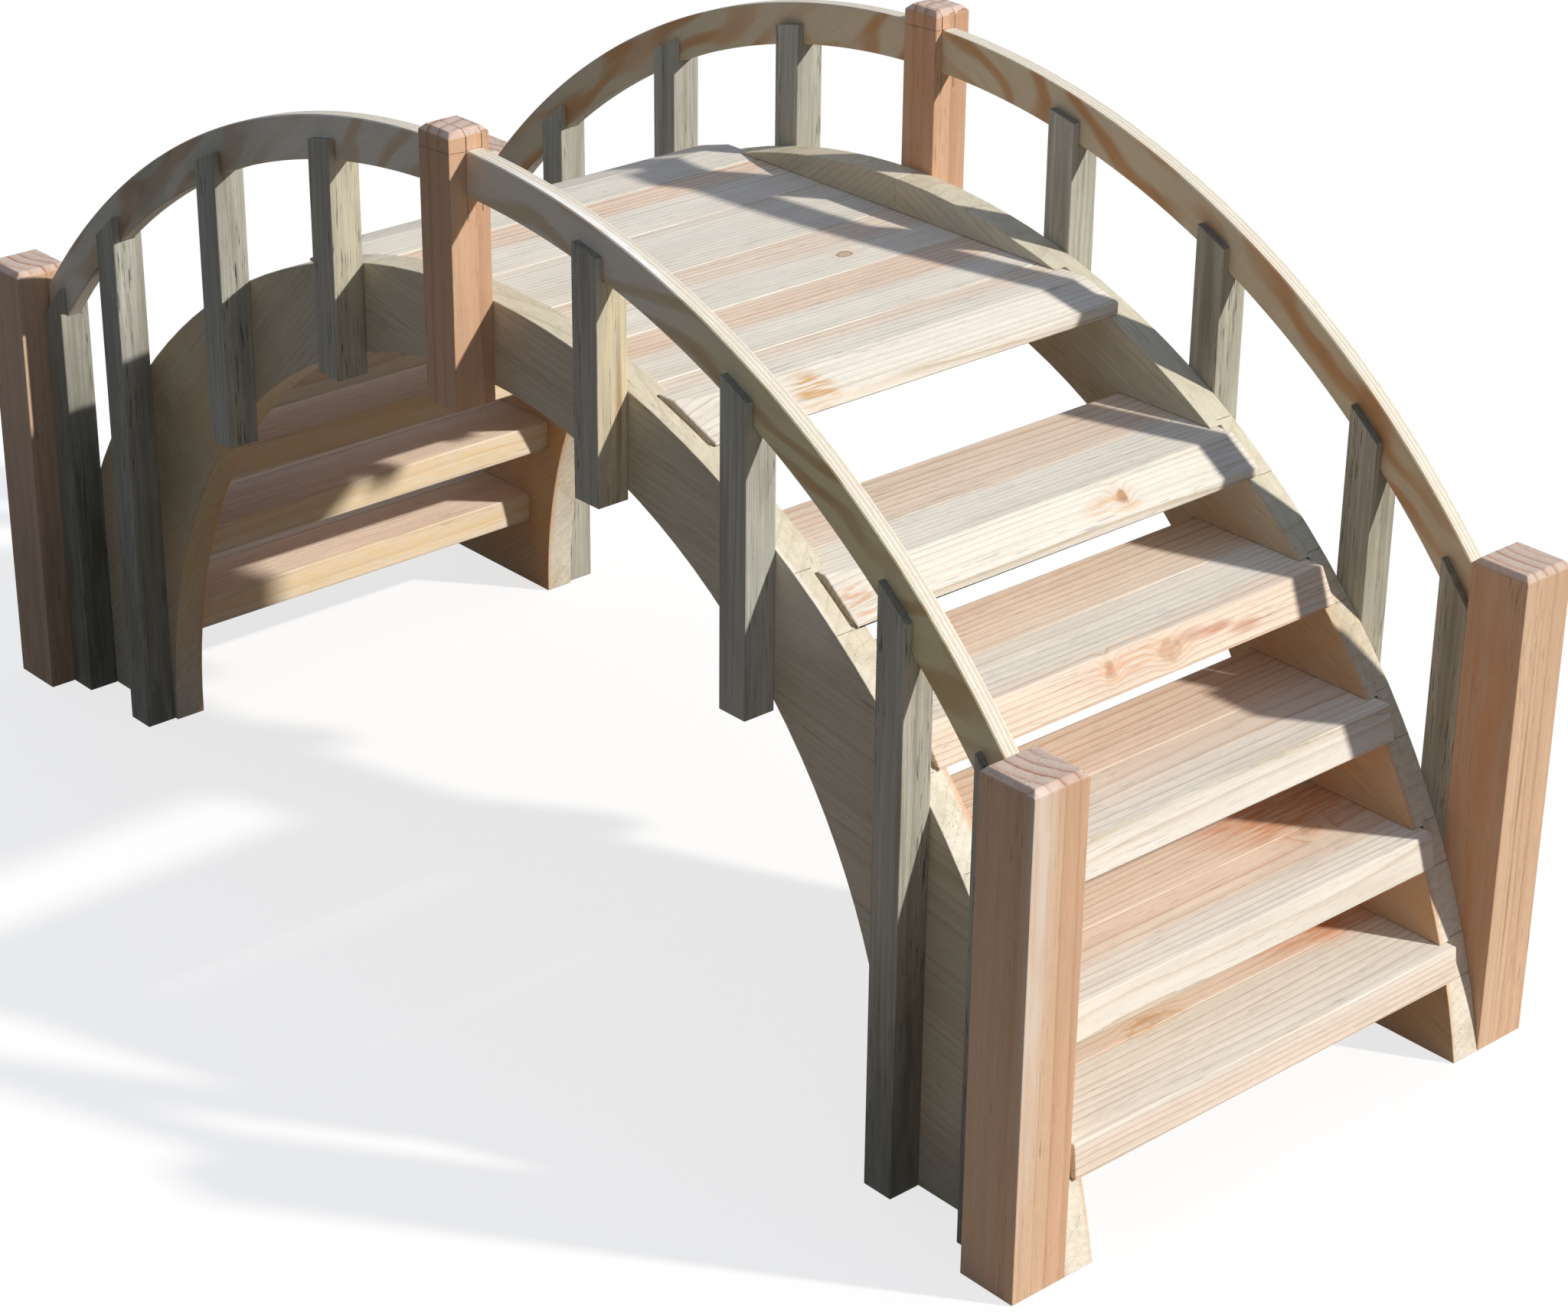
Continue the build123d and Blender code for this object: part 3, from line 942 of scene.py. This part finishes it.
def plies_of(g, sheet, pores, place):
    """Sawn edge: plies that are turned by turns, broken glue lines, and a raw pale stretch."""
    _, depth, _ = g.split(sheet)
    layers = g.math("ADD", g.math("DIVIDE", depth, ply_thickness), g.swing(sheet, ply_sway, 0.5))
    half_layer = g.math("MULTIPLY", g.math("FLOOR", layers), 0.5)
    turned = g.math("GREATER_THAN", g.math("FRACT", half_layer), 0.25)
    from_middle = g.math("ABSOLUTE", g.math("SUBTRACT", g.math("FRACT", layers), 0.5))
    broken = g.step(g.noise(sheet, glue_breaks, 1.0), 0.35, 0.60, 0.0, 0.55)
    glue = g.math("MULTIPLY", g.step(from_middle, 0.42, 0.49), broken)
    plies = g.mix(turned, paint(234, 229, 218), paint(220, 209, 187))
    plies = g.scaled(plies, g.about_one(pores, 0.40))
    plies = g.mix(glue, plies, paint(152, 126, 94))
    raw = g.step(g.noise(place, raw_fibres, 3.0), 0.34, 0.44, 0.0, 0.9)
    raw = g.math("MULTIPLY", g.step(distance_to(g, place, *raw_edge), 1.0, 0.5), raw)
    return g.mix(raw, plies, paint(246, 245, 244))


def plywood(name):
    """Peeled veneer on the faces, plies on the edges."""
    material, g = new_material(name)
    sheet = g.attribute("sheet", "Vector")
    edge = g.attribute("edge", "Fac")
    place = g.object_place()
    threads = g.noise(sheet, veneer_threads, 3.0, 0.62)
    pores = g.noise(sheet, edge_pores, 3.0, 0.65)
    colour = g.mix(edge, veneer_of(g, sheet, threads, place), plies_of(g, sheet, pores, place))
    height = g.math("MULTIPLY_ADD", pores, edge, g.math("MULTIPLY", threads, 0.8))
    close_material(g, colour, g.math("MULTIPLY_ADD", threads, 0.2, 0.58), height, relief=0.45)
    print(name, "has", len(g.tree.nodes), "nodes")
    return material


woods["rail_plywood"] = plywood("rail_plywood")

# %% [markdown]
# ## Handrails
# A rail is one arc with a rectangular section, so it is a curve and a profile: the curve sets the bend and the
# profile the section with its softened corners. Both ends are cut plumb against the end posts, which is done by
# moving every point beyond the cut along its own circle back to the cut. Each half of a rail shows another part
# of the sheet, with its own direction of grain.

# %% A Geometry Nodes tree for a rail
merge_distance = 0.0001
sheet_step = 3.0


def plumb_ends(g, solid, end):
    """Moves points beyond the cut at either end back to it, along circles about the origin."""
    x, y, z = g.split(g.shape("InputPosition", {}))
    limit = g.math("MULTIPLY", g.math("SIGN", x), end)
    ring = g.math("ADD", g.math("MULTIPLY", x, x), g.math("MULTIPLY", z, z))
    height = g.math("SQRT", g.math("SUBTRACT", ring, g.math("MULTIPLY", limit, limit)))
    beyond = g.math("GREATER_THAN", g.math("ABSOLUTE", x), end)
    moved = {"Geometry": solid, "Selection": beyond, "Position": g.gather(limit, y, height)}
    return g.shape("MergeByDistance", {"Geometry": g.shape("SetPosition", moved), "Distance": merge_distance})


def sheet_place(g, given):
    """Place on the plywood sheet: along its grain, through its thickness and across its grain."""
    x, y, z = g.split(g.shape("InputPosition", {}))
    front = g.math("GREATER_THAN", x, 0.0)
    back = g.math("SUBTRACT", 1.0, front)
    turn = g.math("MULTIPLY", front, given["Front Turn"])
    turn = g.math("ADD", turn, g.math("MULTIPLY", back, given["Back Turn"]))
    cosine, sine = g.math("COSINE", turn), g.math("SINE", turn)
    along = g.math("ADD", g.math("MULTIPLY", x, cosine), g.math("MULTIPLY", z, sine))
    along = g.math("ADD", along, g.math("MULTIPLY", front, sheet_step))
    across = g.math("SUBTRACT", g.math("MULTIPLY", z, cosine), g.math("MULTIPLY", x, sine))
    half = g.math("MULTIPLY", given["Thickness"], 0.5)
    depth = g.math("ADD", g.math("SUBTRACT", y, given["Side"]), half)
    return g.gather(along, depth, across)


def rail_tree():
    """An arc, an eased rectangle along it, plumb ends, and the coordinates of the plywood sheet."""
    inputs = {"Radius": "Float", "Centre": "Float", "Depth": "Float", "Thickness": "Float", "Ease": "Float"}
    inputs.update({"Side": "Float", "End": "Float", "Reach": "Float", "Steps": "Int"})
    inputs.update({"Front Turn": "Float", "Back Turn": "Float", "Wood": "Material"})
    tree, g, given = new_tree("bend_rail", inputs)
    arc = g.shape("CurveArc", {
        "Resolution": given["Steps"], "Radius": given["Radius"],
        "Start Angle": g.math("SUBTRACT", math.pi / 2, given["Reach"]),
        "Sweep Angle": g.math("MULTIPLY", given["Reach"], 2.0),
    })
    arc = g.shape("Transform", {"Geometry": arc, "Rotation": (math.pi / 2, 0.0, 0.0)})
    section = {"Width": given["Thickness"], "Height": given["Depth"]}
    section = g.shape("CurvePrimitiveQuadrilateral", section)
    section = g.shape("FilletCurve", {"Curve": section, "Radius": given["Ease"]})
    solid = g.shape("CurveToMesh", {"Curve": arc, "Profile Curve": section, "Fill Caps": True})
    solid = plumb_ends(g, solid, given["End"])
    lifted = g.gather(0.0, given["Side"], given["Centre"])
    solid = g.shape("Transform", {"Geometry": solid, "Translation": lifted})
    solid = store(g, solid, "sheet", "FLOAT_VECTOR", "POINT", sheet_place(g, given))
    _, facing, _ = g.split(g.shape("InputNormal", {}))
    sawn = g.math("LESS_THAN", g.math("ABSOLUTE", facing), 0.5)
    solid = store(g, solid, "edge", "FLOAT", "FACE", sawn)
    end_tree(g, solid, given["Wood"])
    return tree


bend_rail = rail_tree()

# %% Bend both rails
rail_depth = 0.048
rail_thickness = 0.019
rail_ease = 0.0013
rail_steps = 150
spare_angle = math.radians(1.5)
rail_turns = {"left": (-0.12, 0.75), "right": (-0.60, 0.65)}
for side, (front_turn, back_turn) in rail_turns.items():
    name = side + "_rail"
    low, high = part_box(name)
    # the lower corner at the end lies on the inner circle, which gives the common centre
    drop = high.z - rail_depth - low.z
    inner = (high.x**2 + drop**2) / (2 * drop)
    values = {
        "Radius": inner + rail_depth / 2, "Centre": high.z - rail_depth - inner, "Depth": rail_depth,
        "Thickness": rail_thickness, "Ease": rail_ease, "Side": (low.y + high.y) / 2, "End": high.x,
        "Reach": math.asin(high.x / inner) + spare_angle, "Steps": rail_steps,
        "Front Turn": front_turn, "Back Turn": back_turn, "Wood": woods["rail_plywood"],
    }
    mesh = grown(bpy.data.meshes.new("rail"), bend_rail, values)
    piece = finish_piece(name + "_arc", [mesh], "rail_plywood", name)
    corners = [piece.matrix_world @ Vector(corner) for corner in piece.bound_box]
    lowest = [round(min(corner[i] for corner in corners) - low[i], 4) for i in range(3)]
    highest = [round(max(corner[i] for corner in corners) - high[i], 4) for i in range(3)]
    print(name, "leaves its CAD box by", lowest, highest)

# %% [markdown]
# ## Pencil lines
# The maker's pencil shows where housings and slots were marked out: fine lines across the top of the arches, and
# round the middle posts at the height of the rail. Each line is an edge of a small wire mesh. Geometry Nodes turn
# the wire into curves and give them a flat section under a millimetre wide, so the lines are real, thin strips.

# %% A Geometry Nodes tree that draws lines
worn_places = (220.0, 220.0, 220.0)
graphite_grain = (900.0, 900.0, 900.0)


def pencil_tree():
    """Turns the edges of a mesh into thin strips that lie in a surface."""
    inputs = {"Width": "Float", "Height": "Float", "Pencil": "Material"}
    tree, g, given = new_tree("draw_lines", inputs)
    lines = g.shape("MeshToCurve", {0: given["Geometry"]})
    section = {"Width": given["Width"], "Height": given["Height"]}
    section = g.shape("CurvePrimitiveQuadrilateral", section)
    strips = g.shape("CurveToMesh", {"Curve": lines, "Profile Curve": section, "Fill Caps": True})
    end_tree(g, strips, given["Pencil"])
    return tree


def graphite(name):
    """A soft grey line that breaks up along its length."""
    material, g = new_material(name)
    place = g.object_place()
    worn = g.step(g.noise(place, worn_places, 2.0), 0.35, 0.65)
    grey = g.mix(worn, paint(92, 80, 70), paint(150, 132, 112))
    close_material(g, grey, 0.6, g.noise(place, graphite_grain, 1.0), relief=0.2)
    return material


draw_lines = pencil_tree()
pencil = graphite("pencil")

# %% Lines on the arches and the middle posts
housing_depth = 0.016
line_lift = 0.00004
below_tread, above_tread = 0.001, 0.004
# both sides of the rail's slot, from the near face of the post
slot_marks = {"left": (0.0215, 0.0405), "right": (0.0095, 0.0285)}
front_line = 0.021
post_bevel = 0.007
below_rail = 0.050
slip = 0.001


def arch_point(height, y):
    """A point on the top curve of an arch at the front end, just proud of the wood."""
    radius = arch_radius + line_lift
    return (math.sqrt(radius**2 - (height - arch_centre) ** 2), y, height)


def arch_lines(side, sign):
    """Lines across the arch, under and over each housing of the front end."""
    low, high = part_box(side + "_stringer")
    outer = low.y if sign < 0 else high.y
    inner = outer - sign * (high.y - low.y - housing_depth)
    lines = []
    for index in range(tread_count):
        tread_low, tread_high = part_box(f"front_tread_{index + 1}")
        for height in (tread_low.z - below_tread, tread_high.z + above_tread):
            start = outer + (inner - outer) * dice.uniform(0.0, 0.35)
            lines.append((arch_point(height, start), arch_point(height, inner)))
    return lines


def post_lines(side):
    """Lines round the near and front face of the middle post, and along its slot above and below the rail."""
    low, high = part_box(side + "_middle_post")
    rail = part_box(side + "_rail")[1].z
    near, front = low.y - line_lift, high.x + line_lift
    lines = [
        ((low.x, near, rail - 2 * slip), (high.x, near, rail + slip)),
        ((front, low.y, rail + slip), (front, low.y + front_line, rail - slip)),
    ]
    for mark in slot_marks[side]:
        y, under = low.y + mark, rail - below_rail
        lines.append(((front, y, rail), (front, y, high.z - post_bevel)))
        lines.append(((front, y, under), (front, y, under - dice.uniform(0.015, 0.040))))
    return lines


print("lines stand", line_lift * 1000, "mm proud")

# %% Draw the lines
line_width = 0.0009
line_height = 0.0002
for side, sign in (("left", -1), ("right", 1)):
    lines = arch_lines(side, sign) + post_lines(side)
    wire = bpy.data.meshes.new("lines")
    points = [point for line in lines for point in line]
    wire.from_pydata(points, [(2 * index, 2 * index + 1) for index in range(len(lines))], [])
    mesh = grown(wire, draw_lines, {"Width": line_width, "Height": line_height, "Pencil": pencil})
    finish_piece(side + "_pencil_lines", [mesh], "stringer_wood")
    print(side, len(lines), "pencil lines")

# %% [markdown]
# ## Size
# Blender gives the bridge its looks, not its size, so the box of what it draws is printed at the end.

# %% Print the box and finish
low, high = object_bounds()
print(len(made), "pieces, box", [round(v, 4) for v in low], [round(v, 4) for v in high])
